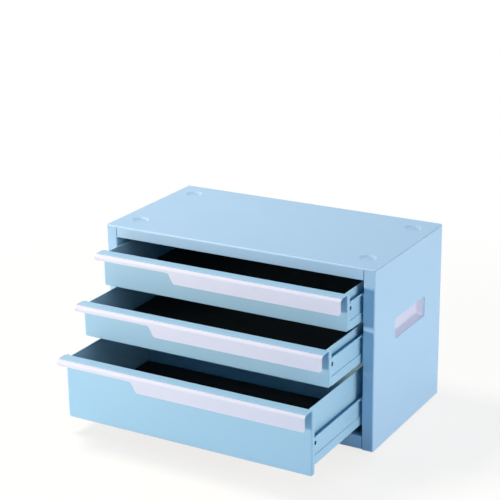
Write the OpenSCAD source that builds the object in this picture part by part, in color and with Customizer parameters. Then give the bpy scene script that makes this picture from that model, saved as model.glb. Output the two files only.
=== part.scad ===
// Portable three-drawer steel tool box, drawers drawn out one behind the other.
// Origin: floor level under the middle of the cabinet. X to the right, Y to the back, Z up.
// Each drawer is modelled at its drawn-out place and slides along Y.

/* [Cabinet] */
// Width over the side panels
cab_w = 400; // [340:1:480]
// Depth from the front frame to the rear edge
cab_d = 210; // [185:1:260]
// Thickness of every folded sheet
sheet = 1; // [0.8:0.1:1.2]
// Outer radius of the folds
fold_r = 2; // [1.6:0.1:3]
// Width of each front stile
stile_w = 16; // [14:0.5:20]
// Depth of the return flange behind each stile
stile_return = 25; // [20:1:26]
// Height of the lip over the drawers
top_lip = 16; // [12:0.5:24]
// Height of the lip under the drawers
bottom_lip = 19; // [14:0.5:26]
// Depth of the folded edges behind both lips
lip_return = 10; // [6:1:14]
// Width of the weld and screw flanges
flange_w = 12; // [10:0.5:13]
// How far the back panel's inner face lies inside the rear edge
back_recess = 3; // [3:0.1:5]
// Gap between neighbouring panels of the cabinet
seam = 0.2; // [0.1:0.05:0.4]

/* [Drawer fronts] */
// Height of the top drawer's front
top_front_h = 50; // [48:1:80]
// Height of the middle drawer's front
middle_front_h = 50; // [48:1:80]
// Height of the bottom drawer's front
bottom_front_h = 89; // [60:1:120]
// Gap between the top lip and the top front
top_gap = 6; // [4:0.5:10]
// Gap between the top and the middle front
upper_gap = 5.5; // [4:0.5:12]
// Gap between the middle and the bottom front
lower_gap = 10; // [4:0.5:16]
// Gap between the bottom front and the bottom lip
sill_gap = 0.5; // [0.4:0.1:1.5]
// Gap beside each front, to the stile
side_gap = 3; // [3:0.1:4]
// How far a closed front lies behind the front frame
closed_recess = 24; // [23:0.5:30]
// Depth of the folded edges behind each front
front_return = 6; // [4:0.5:8]
// Reach of the blue flange in front of each front
front_flange = 15; // [12:0.5:15]

/* [Pulls] */
// Distance from a front's face to its pull's face
pull_reach = 20; // [19.5:0.5:22]
// Drop of the pull's wide stretch below the front's top
pull_drop = 22; // [16:0.5:28]
// Drop of the pull's narrow stretch
pull_narrow = 8; // [7:0.5:10]
// Thickness of the pull's sheet
pull_t = 1.2; // [1:0.1:1.5]
// Outer radius of the pull's fold
pull_fold = 4; // [3:0.5:5]
// Radius of the pull's lower corners
pull_corner = 4; // [2:0.5:6]
// Where the step's upper end lies, left of the middle
step_from = 68; // [60:1:90]
// Length of the sloping step
step_l = 11; // [8:1:20]

/* [Trays and runners] */
// Room between a closed drawer and the back panel, where the bumpers sit
rear_room = 4; // [3:0.5:10]
// How far the tray's walls stay below the top of the front
wall_drop = 2; // [1.5:0.5:6]
// Thickness of the mat in each tray
mat_t = 1.5; // [1:0.1:3]
// Play round the mat
mat_gap = 1.5; // [1:0.1:4]
// Height of the runners
runner_h = 38; // [36:1:40]
// Width of the runner channel
runner_w = 6; // [5.5:0.1:7]
// Height of the runner's outward step
runner_step = 14; // [10:1:15]
// Radius of the rolled bead on each runner
bead_r = 1.1; // [1:0.05:1.2]
// Rise of the top and middle runners above their fronts' lower edge
runner_rise = 0.3; // [0:0.1:2]
// Rise of the bottom runners above their front's lower edge
bottom_rise = 13; // [4:0.5:16]
// Radius of the access holes in the runners
access_r = 2.5; // [2:0.1:3]
// Distance from the top of a runner to its access holes
access_drop = 10.5; // [8:0.5:12]
// Distance from a runner's front end to its first access hole
access_in = 5; // [4:0.5:10]
// Distance from a runner's rear end to its second access hole
access_back = 24; // [16:1:40]
// Height of the stop tab at the rear of each runner
stop_tab_h = 10; // [6:0.5:12]

/* [Travel] */
// How much of a drawer's depth a full pull leaves inside
held_in = 21; // [18:0.5:60]
// How far short of fully out the top drawer stands as modelled
top_short = 97; // [0:1:110]
// How far short of fully out the middle drawer stands as modelled
middle_short = 48; // [0:1:110]
// How far short of fully out the bottom drawer stands as modelled
bottom_short = 4; // [0:1:110]
// Running clearance between drawer and rail
run_gap = 0.3; // [0.3:0.05:0.5]
// Gap left at the stops
stop_gap = 0.4; // [0.3:0.05:1]

/* [Carrying pockets] */
// Length of each pocket's opening
grip_l = 94; // [80:1:110]
// Height of each pocket's opening
grip_h = 28; // [22:1:36]
// Distance from the front frame to the opening
grip_front = 62; // [45:1:70]
// Height of the opening above the cabinet's lower edge
grip_z = 133; // [100:1:160]
// Depth of the pocket from the side panel's outer face
grip_depth = 11; // [8:0.5:12]
// Wall thickness of the pocket
grip_wall = 1.5; // [1:0.1:2.5]
// Width of the rim glued behind the side panel
grip_rim = 5; // [3:0.5:8]
// Radius of the opening's corners
grip_corner = 4; // [2:0.5:8]

/* [Feet, dimples and fixings] */
// Distance from the side panels' outer faces to the feet and dimples
foot_side = 29; // [29:0.5:60]
// Distance from the front frame to the front feet
foot_front = 39; // [39:1:60]
// Distance from the rear edge to the rear feet
foot_back = 33; // [24:1:60]
// Height of the cabinet above the floor
foot_h = 2; // [1.5:0.1:2.5]
// Radius of the feet
foot_r = 9.5; // [8:0.1:10]
// Radius of the dimples in the top and the foot seats
dimple_r = 11.5; // [11:0.1:12]
// Depth of the dimples and the foot seats
dimple_depth = 1.2; // [0.8:0.1:1.6]
// Radius of the push-in stem of each foot
stem_r = 2.8; // [2:0.1:3.2]
// Radius of the rear screws' shanks
screw_r = 1.95; // [1.5:0.05:2.1]
// Radius of the rivets
rivet_r = 1.6; // [1.2:0.1:1.8]
// Radius of the closing bumpers
bumper_r = 5; // [4:0.5:8]
// Distance from the tray's walls to the bumpers
bumper_in = 55; // [10:1:100]

/* [Hidden] */
$fn = 48;
fix_gap = 0.05; // radial play of screws, rivets and stems in their holes

BLUE = "#a9cfe9";
BLUE_TOP = "#b8d2e7";
WHITE = "#dcdce7";
POCKET = "#d7d2e4";
STEEL = "#b9bec4";
BLACK = "#141519";

front_y = -cab_d / 2;
back_y = cab_d / 2;
side_x = cab_w / 2;
mouth_x = side_x - stile_w; // inner edge of a stile
z0 = foot_h; // lower edge of the cabinet
front_z = [for (i = [0:2]) front_floor(i)];
front_h = [top_front_h, middle_front_h, bottom_front_h];
drawer_depth = cab_d - closed_recess - back_recess - rear_room; // front's face to back wall
travel = drawer_depth - held_in; // from closed to fully out
open_by = [travel - top_short, travel - middle_short, travel - bottom_short];
rise = [runner_rise, runner_rise, bottom_rise];
z1 = front_floor(0) + top_front_h + top_gap + top_lip;

panel_y = back_y - back_recess; // inner face of the back panel
flange_x = side_x - sheet - flange_w; // inner edge of the side panels' flanges
front_x = mouth_x - side_gap; // half the width of a front
wall_x = front_x - runner_w; // outer face of the tray's walls
rail_x = mouth_x - sheet; // inner face of the rails
web_in = 0.4; // upper web of a runner, inside its lower band
closed_y = front_y + closed_recess;
runner_l0 = front_return + seam;
runner_short = 3; // from the runner's rear end to the tray's back
runner_end = drawer_depth - runner_short;
tab_w = 1.2;
tab_in = 3; // from the runner's rear end to its stop tab
tab_y = runner_end - tab_in - tab_w;
stud_r = 2.5;
stud_y = closed_y + tab_y - travel - stop_gap - stud_r;
rail_y0 = front_y + fold_r; // behind the stile's fold
rail_cover_y = closed_y + front_return + stop_gap; // flanges start behind a closed front
rail_end = panel_y - sheet; // rear tab lies against the side panel's flange
tab_h = 16;
weld_h = 12; // upright weld flanges of the tray and the panels
corner_gap = 2; // room between the ends of neighbouring flanges
tab_room = 3; // from a rail's rear tab to the side panel
tab_x = side_x - sheet - tab_room;
foot_x = side_x - foot_side;
foot_spots = [for (x = [-foot_x, foot_x], y = [front_y + foot_front, back_y - foot_back]) [x, y]];
dish_slope = 1.2;

screw_head_r = 3.6;
screw_head_h = 1.6;
screw_l = 6;
screw_point = 1.2;
screw_round = 0.9;
rail_screw_x = (flange_x + tab_x) / 2;
edge_screw_x = 100;
rivet_head_r = 3;
rivet_head_h = 1;
rivet_tail_r = 2.5;
rivet_tail_h = 0.7;
rivet_y = [runner_l0 + access_in, runner_end - access_back];

// lower edge of front i, counted from the top drawer
function front_floor(i) = i == 2
    ? z0 + bottom_lip + sill_gap
    : i == 1
        ? front_floor(2) + bottom_front_h + lower_gap
        : front_floor(1) + middle_front_h + upper_gap;
function face_y(i) = closed_y - open_by[i]; // front face of drawer i as modelled
function front_top(i) = front_z[i] + front_h[i];
function runner_z(i) = front_z[i] + rise[i];
function runner_top(i) = runner_z(i) + runner_h;
function tray_z(i) = front_z[i] + max(rise[i], fold_r); // clears the front's lower fold
function wall_top(i) = front_top(i) - wall_drop;

// ---- shared shapes ----

// box between two corners
module slab(lo, hi) {
    translate(lo) cube(hi - lo);
}

// outline in X and Z, drawn out along Y
module along_y(from, to) {
    translate([0, to, 0]) rotate([90, 0, 0]) linear_extrude(to - from) children();
}

// outline in Y and Z, drawn out along X
module along_x(from, to) {
    translate([from, 0, 0]) rotate([90, 0, 90]) linear_extrude(to - from) children();
}

// copy for the left side
module on_side(left) {
    mirror([left ? 1 : 0, 0, 0]) children();
}

// rectangle with round corners
module rounded(lo, hi, r) {
    translate([lo.x + r, lo.y]) square([hi.x - lo.x - 2 * r, hi.y - lo.y]);
    translate([lo.x, lo.y + r]) square([hi.x - lo.x, hi.y - lo.y - 2 * r]);
    for (x = [lo.x + r, hi.x - r], y = [lo.y + r, hi.y - r]) {
        translate([x, y]) circle(r);
    }
}

// sheet bent once: its legs run from the round corner at the origin to x = a and y = b
module bent(a, b, r, t) {
    intersection() {
        difference() {
            rounded([0, 0], [2 * a + r, 2 * b + r], r);
            rounded([t, t], [3 * a + r, 3 * b + r], r - t);
        }
        square([a, b]);
    }
}

// round pressed seat in a sheet whose flat face is at z = 0 and whose seat goes up
module dish(hole) {
    rotate_extrude() polygon([
        [hole, dimple_depth],
        [dimple_r - dish_slope, dimple_depth],
        [dimple_r, 0],
        [dimple_r + sheet, 0],
        [dimple_r + sheet, sheet],
        [dimple_r, sheet],
        [dimple_r - dish_slope, dimple_depth + sheet],
        [hole, dimple_depth + sheet]
    ]);
}

module dish_hole() {
    translate([0, 0, -sheet]) cylinder(r = dimple_r + sheet / 2, h = 3 * sheet);
}

// ---- cabinet ----

module top_panel() {
    lip_x = mouth_x - seam;
    inner_x = flange_x - seam;
    color(BLUE_TOP) {
        difference() {
            intersection() {
                union() {
                    along_x(-side_x, side_x) translate([front_y, z1]) mirror([0, 1])
                        bent(cab_d, fold_r, fold_r, sheet);
                }
                linear_extrude(z1 + sheet) rounded([-side_x, front_y], [side_x, back_y], fold_r);
            }
            for (p = foot_spots) {
                translate([p.x, p.y, z1 - sheet]) dish_hole();
            }
        }
        for (p = foot_spots) {
            translate([p.x, p.y, z1]) mirror([0, 0, 1]) dish(0);
        }
        along_x(-lip_x, lip_x) translate([front_y, z1]) mirror([0, 1])
            bent(2 * fold_r, top_lip, fold_r, sheet);
        slab(
            [-lip_x, front_y + sheet / 2, z1 - top_lip],
            [lip_x, front_y + lip_return, z1 - top_lip + sheet]
        );
        difference() {
            slab(
                [-inner_x, panel_y - sheet, z1 - sheet - weld_h],
                [inner_x, panel_y, z1 - sheet / 2]
            );
            edge_screw_holes();
        }
    }
}

module side_panel(left) {
    color(BLUE) on_side(left) difference() {
        union() {
            translate([0, 0, z0]) linear_extrude(z1 - sheet - z0) {
                difference() {
                    rounded([mouth_x, front_y], [side_x, panel_y], fold_r);
                    rounded(
                        [mouth_x + sheet, front_y + sheet],
                        [side_x - sheet, panel_y - sheet],
                        fold_r - sheet
                    );
                    translate([mouth_x - sheet, front_y + stile_return]) square([2 * sheet, cab_d]);
                    translate([mouth_x - sheet, panel_y - 2 * fold_r])
                        square([flange_x - mouth_x + sheet, 4 * fold_r]);
                }
                translate([side_x - sheet, front_y + fold_r]) square([sheet, cab_d - fold_r]);
                translate([side_x - 2 * sheet, panel_y - sheet]) square([2 * sheet, back_recess + sheet]);
            }
            for (z = [z0 + sheet, z1 - 2 * sheet]) {
                slab(
                    [flange_x, front_y + stile_return + corner_gap, z],
                    [side_x - sheet / 2, rail_end - 2 * sheet, z + sheet]
                );
            }
        }
        // top corner makes room for the top panel's fold
        slab(
            [mouth_x - sheet, front_y - sheet, z1 - fold_r - seam],
            [side_x + sheet, front_y + fold_r + seam, z1]
        );
        along_x(side_x - 2 * sheet, side_x + sheet) pocket_outline(0);
        rail_screw_holes();
    }
}

// carrying pocket's opening in Y and Z, grown by g on every side
module pocket_outline(g) {
    rounded(
        [front_y + grip_front - g, z0 + grip_z - g],
        [front_y + grip_front + grip_l + g, z0 + grip_z + grip_h + g],
        grip_corner + g
    );
}

module handle_cup(left) {
    rim_x = side_x - sheet;
    floor_x = side_x - grip_depth;
    color(POCKET) on_side(left) difference() {
        union() {
            along_x(rim_x - grip_wall, rim_x) pocket_outline(grip_rim);
            along_x(floor_x - grip_wall, rim_x) pocket_outline(grip_wall);
        }
        along_x(floor_x, side_x) pocket_outline(0);
    }
}

module bottom_panel() {
    lip_x = mouth_x - seam;
    wide_x = side_x - sheet - seam;
    inner_x = flange_x - seam;
    wide_y = front_y + stile_return + seam;
    lip_z = z0 + bottom_lip;
    color(BLUE) {
        difference() {
            union() {
                slab([-lip_x, front_y + fold_r, z0], [lip_x, wide_y + sheet, z0 + sheet]);
                slab([-wide_x, wide_y, z0], [wide_x, rail_end - seam, z0 + sheet]);
                slab([-inner_x, rail_end - 2 * sheet, z0], [inner_x, panel_y, z0 + sheet]);
            }
            for (p = foot_spots) {
                translate([p.x, p.y, z0]) dish_hole();
            }
        }
        for (p = foot_spots) {
            translate([p.x, p.y, z0]) dish(stem_r + fix_gap);
        }
        along_x(-lip_x, lip_x) translate([front_y, z0]) bent(2 * fold_r, bottom_lip, fold_r, sheet);
        slab(
            [-lip_x, front_y + sheet / 2, lip_z - sheet],
            [lip_x, front_y + lip_return, lip_z]
        );
        difference() {
            slab(
                [-inner_x, panel_y - sheet, z0 + sheet / 2],
                [inner_x, panel_y, z0 + sheet + weld_h]
            );
            edge_screw_holes();
        }
    }
}

module back_panel() {
    edge_x = side_x - 2 * sheet - seam;
    color(BLUE) difference() {
        slab([-edge_x, panel_y, z0 + sheet], [edge_x, panel_y + sheet, z1 - sheet - seam]);
        rail_screw_holes();
        edge_screw_holes();
    }
}

// screw places in X and Z: one behind each rail, and four along the upper and lower edges
rail_screw_spots = [for (i = [0:2], s = [-1, 1]) [s * rail_screw_x, runner_z(i) + runner_h / 2]];
edge_screw_z = [z0 + sheet + weld_h / 2, z1 - sheet - weld_h / 2];
edge_screw_spots = [for (x = [-edge_screw_x, edge_screw_x], z = edge_screw_z) [x, z]];

module screw_holes(spots) {
    for (p = spots) {
        translate([p.x, panel_y - 4 * sheet, p.y]) rotate([-90, 0, 0])
            cylinder(r = screw_r + fix_gap, h = 8 * sheet);
    }
}

module rail_screw_holes() {
    screw_holes(rail_screw_spots);
}

module edge_screw_holes() {
    screw_holes(edge_screw_spots);
}

// pan-head screw along Y, with a cross recess; its head lies outside the back panel
module back_screw() {
    slot_w = 0.9;
    slot_l = 3.6;
    difference() {
        rotate([-90, 0, 0]) rotate_extrude() polygon([
            [0, -screw_l],
            [screw_r - screw_round, -screw_l],
            [screw_r, -screw_l + screw_point],
            [screw_r, 0],
            [screw_head_r, 0],
            [screw_head_r, screw_head_h / 2],
            [screw_head_r - screw_round, screw_head_h],
            [0, screw_head_h]
        ]);
        for (a = [0, 90]) {
            rotate([0, a, 0]) translate([-slot_l / 2, screw_head_h / 2, -slot_w / 2])
                cube([slot_l, screw_head_h, slot_w]);
        }
    }
}

module back_screws() {
    color(STEEL) for (p = concat(rail_screw_spots, edge_screw_spots)) {
        translate([p.x, panel_y + sheet, p.y]) back_screw();
    }
}

module closing_bumpers() {
    depth = panel_y - (closed_y + drawer_depth) - stop_gap;
    color(BLACK) for (i = [0:2], s = [-1, 1]) {
        translate([s * (wall_x - bumper_in), panel_y, runner_z(i) + runner_h / 2]) rotate([90, 0, 0])
            rotate_extrude() polygon([
                [0, 0],
                [bumper_r, 0],
                [bumper_r, depth / 2],
                [bumper_r * 0.75, depth],
                [0, depth]
            ]);
    }
}

// rubber foot pushed into its seat from below
module foot(spot) {
    seat = foot_h + dimple_depth;
    barb_z = seat + sheet + fix_gap;
    barb_l = 2.5;
    barb_out = 0.8;
    edge = 0.6;
    color(BLACK) translate([spot.x, spot.y, 0]) rotate_extrude() polygon([
        [0, 0],
        [foot_r - edge, 0],
        [foot_r, edge],
        [foot_r, seat],
        [stem_r, seat],
        [stem_r, barb_z],
        [stem_r + barb_out, barb_z],
        [stem_r - edge, barb_z + barb_l],
        [0, barb_z + barb_l]
    ]);
}

// ---- rails ----

// rail i: web on the stile's return, a shelf under the runner's bead, a carrying flange
// under the runner and a keeper over it, both behind the closed front
module rail(i, left) {
    lo = runner_z(i);
    hi = runner_top(i);
    shelf_z = hi - 2 * bead_r - run_gap;
    low_z = lo - run_gap;
    keep_z = hi + run_gap;
    web_x = mouth_x - sheet / 2; // middle of the web, where the flanges join it
    mid_z = lo + runner_h / 2;
    color(BLUE) on_side(left) difference() {
        union() {
            slab([rail_x, rail_y0, low_z - sheet], [mouth_x, rail_end, keep_z + sheet]);
            slab([front_x + run_gap, rail_y0, shelf_z - sheet], [web_x, rail_end, shelf_z]);
            slab([wall_x + sheet, rail_cover_y, low_z - sheet], [web_x, rail_end, low_z]);
            slab([wall_x + 2 * sheet, rail_cover_y, keep_z], [web_x, rail_end, keep_z + sheet]);
            slab([web_x, rail_end - sheet, mid_z - tab_h / 2], [tab_x, rail_end, mid_z + tab_h / 2]);
            translate([front_x + web_in, stud_y, mid_z]) rotate([0, 90, 0])
                cylinder(r = stud_r, h = side_gap - web_in);
        }
        rail_screw_holes();
    }
}

// ---- drawers ----

module drawer_front(i) {
    y = face_y(i);
    lo = front_z[i];
    hi = front_top(i);
    flat_x = front_x - fold_r;
    color(BLUE) {
        along_x(-flat_x, flat_x) {
            translate([y + sheet, hi]) rotate(180)
                bent(front_flange + sheet, hi - lo - fold_r, fold_r, sheet);
            translate([y, lo]) bent(front_return, hi - lo - fold_r, fold_r, sheet);
        }
        slab([-front_x, y - front_flange, hi - sheet], [front_x, y + sheet - fold_r, hi]);
        for (left = [false, true]) {
            on_side(left) translate([0, 0, lo + fold_r]) linear_extrude(hi - lo - 2 * fold_r) {
                translate([front_x, y]) mirror([1, 0]) bent(2 * fold_r, front_return, fold_r, sheet);
            }
        }
    }
}

// drop of the pull's lower edge along the step, t from 0 to 1
function step_drop(t) = pull_narrow + (pull_drop - pull_narrow) * (1 - cos(180 * t)) / 2;
function on_circle(a) = [cos(a), sin(a)];
function arc(centre, r, from, to, n) = [
    for (k = [0:n]) centre + r * on_circle(from + (to - from) * k / n)
];

// pull's face in X and Z under its fold, with the front's top at z = 0
pull_edge = -sheet - pull_fold;
end_corner = (pull_narrow + pull_edge) / 2; // lower corner at the narrow end
function pull_outline() = concat(
    [[-front_x, pull_edge], [front_x, pull_edge]],
    arc([front_x - pull_corner, pull_corner - pull_drop], pull_corner, 0, -90, 8),
    [for (k = [0:12]) [-step_from + step_l * (1 - k / 12), -step_drop(1 - k / 12)]],
    arc([-front_x + end_corner, end_corner - pull_narrow], end_corner, -90, -180, 4)
);

module drawer_pull(i) {
    y = face_y(i);
    face = y - pull_reach;
    top = front_top(i) - sheet;
    lap = 3; // the lap starts this far in front of the drawer's front
    color(WHITE) {
        along_y(face, face + pull_t) translate([0, front_top(i)]) polygon(pull_outline());
        along_x(-front_x, front_x) translate([face, top]) mirror([0, 1])
            bent(pull_reach - lap, pull_fold + end_corner / 2, pull_fold, pull_t);
    }
}

module drawer_tray(i) {
    y = face_y(i);
    lo = tray_z(i);
    hi = wall_top(i);
    end = y + drawer_depth;
    color(BLUE) difference() {
        union() {
            along_y(y + sheet, end) difference() {
                rounded([-wall_x, lo], [wall_x, hi + fold_r], fold_r);
                rounded([sheet - wall_x, lo + sheet], [wall_x - sheet, hi + 2 * fold_r], fold_r - sheet);
                translate([-wall_x, hi]) square([2 * wall_x, 2 * fold_r]);
            }
            // weld flanges reach half a sheet into the walls and the floor
            slab([fold_r - wall_x, end - sheet, lo + sheet / 2], [wall_x - fold_r, end, hi]);
            slab([sheet / 2 - wall_x, end - sheet, lo + fold_r], [wall_x - sheet / 2, end, hi]);
            slab(
                [fold_r - wall_x, y + sheet, lo + sheet / 2],
                [wall_x - fold_r, y + 2 * sheet, lo + weld_h]
            );
        }
        rivet_holes(i, wall_x - 2 * sheet, wall_x + sheet);
    }
}

module drawer_mat(i) {
    edge_x = wall_x - sheet - mat_gap;
    lo = tray_z(i) + sheet;
    y = face_y(i);
    color(BLACK) slab(
        [-edge_x, y + 2 * sheet + mat_gap, lo],
        [edge_x, y + drawer_depth - sheet - mat_gap, lo + mat_t]
    );
}

// places of rivet holes in one side's runner and wall, from x = near to x = far
module rivet_holes(i, near, far, r = rivet_r + fix_gap) {
    for (left = [false, true], d = rivet_y) {
        on_side(left) translate([near, face_y(i) + d, runner_top(i) - access_drop]) rotate([0, 90, 0])
            cylinder(r = r, h = far - near);
    }
}

module drawer_runner(i, left) {
    lo = runner_z(i);
    hi = runner_top(i);
    y = face_y(i);
    band = front_x; // outer face of the lower band
    web = band - web_in; // outer face of the upper web
    tab_z = lo + (runner_h - stop_tab_h) / 2; // level with the rail's stud
    crease = 1.5; // height of the slope between the two bands
    hem_gap = 4; // the inner leg ends this far below the bead
    difference() {
        color(BLUE) on_side(left) {
            along_y(y + runner_l0, y + runner_end) {
                polygon([
                    [wall_x, lo],
                    [band, lo],
                    [band, lo + runner_step],
                    [web, lo + runner_step + crease],
                    [web, hi - bead_r],
                    [web - sheet, hi - bead_r],
                    [web - sheet, lo + runner_step + crease],
                    [band - sheet, lo + runner_step],
                    [band - sheet, lo + sheet],
                    [wall_x + sheet, lo + sheet],
                    [wall_x + sheet, hi - hem_gap],
                    [wall_x, hi - hem_gap]
                ]);
                translate([band, hi - bead_r]) circle(bead_r);
            }
            slab(
                [web - sheet / 2, y + tab_y, tab_z],
                [rail_x - stop_gap, y + tab_y + tab_w, tab_z + stop_tab_h]
            );
        }
        rivet_holes(i, wall_x - sheet, wall_x + 2 * sheet);
        rivet_holes(i, web - 2 * sheet, band + sheet, access_r);
    }
}

module drawer_rivets(i) {
    tail_edge = 0.7;
    dome_edge = 1.2;
    color(STEEL) for (left = [false, true], d = rivet_y) {
        on_side(left) translate([wall_x, face_y(i) + d, runner_top(i) - access_drop]) rotate([0, 90, 0])
            rotate_extrude() polygon([
                [0, -sheet - rivet_tail_h],
                [rivet_tail_r - tail_edge, -sheet - rivet_tail_h],
                [rivet_tail_r, -sheet],
                [rivet_r, -sheet],
                [rivet_r, sheet],
                [rivet_head_r, sheet],
                [rivet_head_r - dome_edge, sheet + rivet_head_h],
                [0, sheet + rivet_head_h]
            ]);
    }
}

// ---- what is drawn ----

top_panel();
side_panel(true);  // left_side_panel
side_panel(false);  // right_side_panel
bottom_panel();
back_panel();
handle_cup(true);  // left_handle_cup
handle_cup(false);  // right_handle_cup
rail(0, true);  // top_left_rail
rail(0, false);  // top_right_rail
rail(1, true);  // middle_left_rail
rail(1, false);  // middle_right_rail
rail(2, true);  // bottom_left_rail
rail(2, false);  // bottom_right_rail
back_screws();
closing_bumpers();
foot(foot_spots[0]);  // front_left_foot
foot(foot_spots[1]);  // rear_left_foot
foot(foot_spots[2]);  // front_right_foot
foot(foot_spots[3]);  // rear_right_foot
drawer_tray(0);  // top_drawer_tray
drawer_front(0);  // top_drawer_front
drawer_pull(0);  // top_drawer_pull
drawer_runner(0, true);  // top_drawer_left_runner
drawer_runner(0, false);  // top_drawer_right_runner
drawer_rivets(0);  // top_drawer_rivets
drawer_mat(0);  // top_drawer_mat
drawer_tray(1);  // middle_drawer_tray
drawer_front(1);  // middle_drawer_front
drawer_pull(1);  // middle_drawer_pull
drawer_runner(1, true);  // middle_drawer_left_runner
drawer_runner(1, false);  // middle_drawer_right_runner
drawer_rivets(1);  // middle_drawer_rivets
drawer_mat(1);  // middle_drawer_mat
drawer_tray(2);  // bottom_drawer_tray
drawer_front(2);  // bottom_drawer_front
drawer_pull(2);  // bottom_drawer_pull
drawer_runner(2, true);  // bottom_drawer_left_runner
drawer_runner(2, false);  // bottom_drawer_right_runner
drawer_rivets(2);  // bottom_drawer_rivets
drawer_mat(2);  // bottom_drawer_mat
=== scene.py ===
import math

import bmesh
import bpy
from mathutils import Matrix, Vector


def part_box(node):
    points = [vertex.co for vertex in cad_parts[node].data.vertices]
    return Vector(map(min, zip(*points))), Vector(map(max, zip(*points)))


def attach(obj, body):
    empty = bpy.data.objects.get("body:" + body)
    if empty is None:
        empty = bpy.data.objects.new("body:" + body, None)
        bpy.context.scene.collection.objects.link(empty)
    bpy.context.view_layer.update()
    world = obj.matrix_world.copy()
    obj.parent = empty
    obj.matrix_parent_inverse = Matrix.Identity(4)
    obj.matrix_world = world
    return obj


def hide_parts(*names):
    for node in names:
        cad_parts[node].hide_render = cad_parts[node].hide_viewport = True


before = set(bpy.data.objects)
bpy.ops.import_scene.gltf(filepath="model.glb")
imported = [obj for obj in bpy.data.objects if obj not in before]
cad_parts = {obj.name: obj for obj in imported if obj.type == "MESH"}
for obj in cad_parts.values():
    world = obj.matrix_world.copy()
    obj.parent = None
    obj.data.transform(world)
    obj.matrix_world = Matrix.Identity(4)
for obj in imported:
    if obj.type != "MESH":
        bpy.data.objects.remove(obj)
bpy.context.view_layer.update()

# Portable tool box of folded steel with three drawers, dressed for looks.
# Pieces are modelled in millimetres at their places and scaled to metres when they are finished.

scene = bpy.context.scene
scene.view_settings.view_transform = "Standard"
drawerNames = ["top", "middle", "bottom"]
metre = 1000  # millimetres
slack = 0.02  # how far a corner may lie from the place it is picked by
openingSlack = 0.05  # the same for the edge of an opening or a pressed ring
smallRound = 24  # sides of small round parts
smoothDegrees = 35  # folds sharper than this stay sharp


# shared modelling steps

def deselect():
    bpy.ops.object.select_all(action="DESELECT")


def nodeBox(node):
    low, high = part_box(node)
    return low * metre, high * metre


def settle(piece, name):
    # bakes place, turn and size into the mesh
    piece.name = name
    piece.data.name = name
    bpy.ops.object.transform_apply(location=True, rotation=True, scale=True)
    return piece


def addPlate(name, low, high, facing):
    # flat sheet between two corners, square to X, Y or Z; faceOut turns it the right way later
    deselect()
    low, high = Vector(low), Vector(high)
    size = high - low
    quarter = math.pi / 2
    turn = {"X": (quarter, 0, quarter), "Y": (quarter, 0, 0), "Z": (0, 0, 0)}[facing]
    width, height = {"X": (size.y, size.z), "Y": (size.x, size.z), "Z": (size.x, size.y)}[facing]
    bpy.ops.mesh.primitive_plane_add(size=1, location=(low + high) / 2, rotation=turn)
    piece = bpy.context.object
    piece.scale = (width, height, 1)
    return settle(piece, name)


def addBlock(name, low, high):
    deselect()
    low, high = Vector(low), Vector(high)
    bpy.ops.mesh.primitive_cube_add(size=1, location=(low + high) / 2)
    piece = bpy.context.object
    piece.scale = high - low
    return settle(piece, name)


def addRod(name, start, end, radius, sides=32):
    # round bar between two points on a line along X, Y or Z
    deselect()
    start, end = Vector(start), Vector(end)
    along = end - start
    bpy.ops.mesh.primitive_cylinder_add(
        vertices=sides, radius=radius, depth=along.length, location=(start + end) / 2,
        rotation=along.to_track_quat("Z", "Y").to_euler())
    return settle(bpy.context.object, name)


def startEdit(piece):
    deselect()
    piece.select_set(True)
    bpy.context.view_layer.objects.active = piece
    bpy.ops.object.mode_set(mode="EDIT")


def stopEdit():
    bpy.ops.object.mode_set(mode="OBJECT")


def pick(piece, kind, test):
    # selects vertices, edges or faces whose every corner passes the test
    bpy.ops.mesh.select_mode(type=kind)
    bpy.ops.mesh.select_all(action="DESELECT")
    mesh = bmesh.from_edit_mesh(piece.data)
    parts = {"VERT": mesh.verts, "EDGE": mesh.edges, "FACE": mesh.faces}[kind]
    for part in parts:
        corners = [part] if kind == "VERT" else part.verts
        if all(test(corner.co) for corner in corners):
            part.select_set(True)
    bmesh.update_edit_mesh(piece.data)


def pickAlong(piece, way):
    # selects a block's four edges that run along x, y or z
    bpy.ops.mesh.select_mode(type="EDGE")
    bpy.ops.mesh.select_all(action="DESELECT")
    mesh = bmesh.from_edit_mesh(piece.data)
    for edge in mesh.edges:
        start, end = (getattr(corner.co, way) for corner in edge.verts)
        edge.select_set(abs(start - end) > slack)
    bmesh.update_edit_mesh(piece.data)


def near(a, b, reach=slack):
    return abs(a - b) < reach


def within(value, low, high, reach=slack):
    return low - reach < value < high + reach


def pull(x=0, y=0, z=0):
    bpy.ops.mesh.extrude_region_move(TRANSFORM_OT_translate={"value": (x, y, z)})


def bend(centre, axis, degrees, steps=5):
    # carries the picked edges round a fold; positive degrees turn by the right hand
    bpy.ops.mesh.spin(
        steps=steps, angle=-math.radians(degrees), center=centre, axis=axis, use_auto_merge=False)


def faceOut(piece, spot, direction):
    # makes the faces agree, with the one nearest the spot looking along the direction
    bpy.ops.mesh.select_mode(type="FACE")
    bpy.ops.mesh.select_all(action="SELECT")
    bpy.ops.mesh.remove_doubles(threshold=0.001)
    bpy.ops.mesh.normals_make_consistent(inside=False)
    mesh = bmesh.from_edit_mesh(piece.data)
    face = min(mesh.faces, key=lambda f: (f.calc_center_median() - Vector(spot)).length)
    if face.normal.dot(Vector(direction)) < 0:
        bpy.ops.mesh.flip_normals()


def applyModifier(piece, kind, **settings):
    deselect()
    piece.select_set(True)
    bpy.context.view_layer.objects.active = piece
    modifier = piece.modifiers.new(kind, kind)
    for key, value in settings.items():
        setattr(modifier, key, value)
    bpy.ops.object.modifier_apply(modifier=modifier.name)


def thicken(piece, thickness):
    applyModifier(piece, "SOLIDIFY", thickness=thickness, offset=-1, use_even_offset=True)


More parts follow.
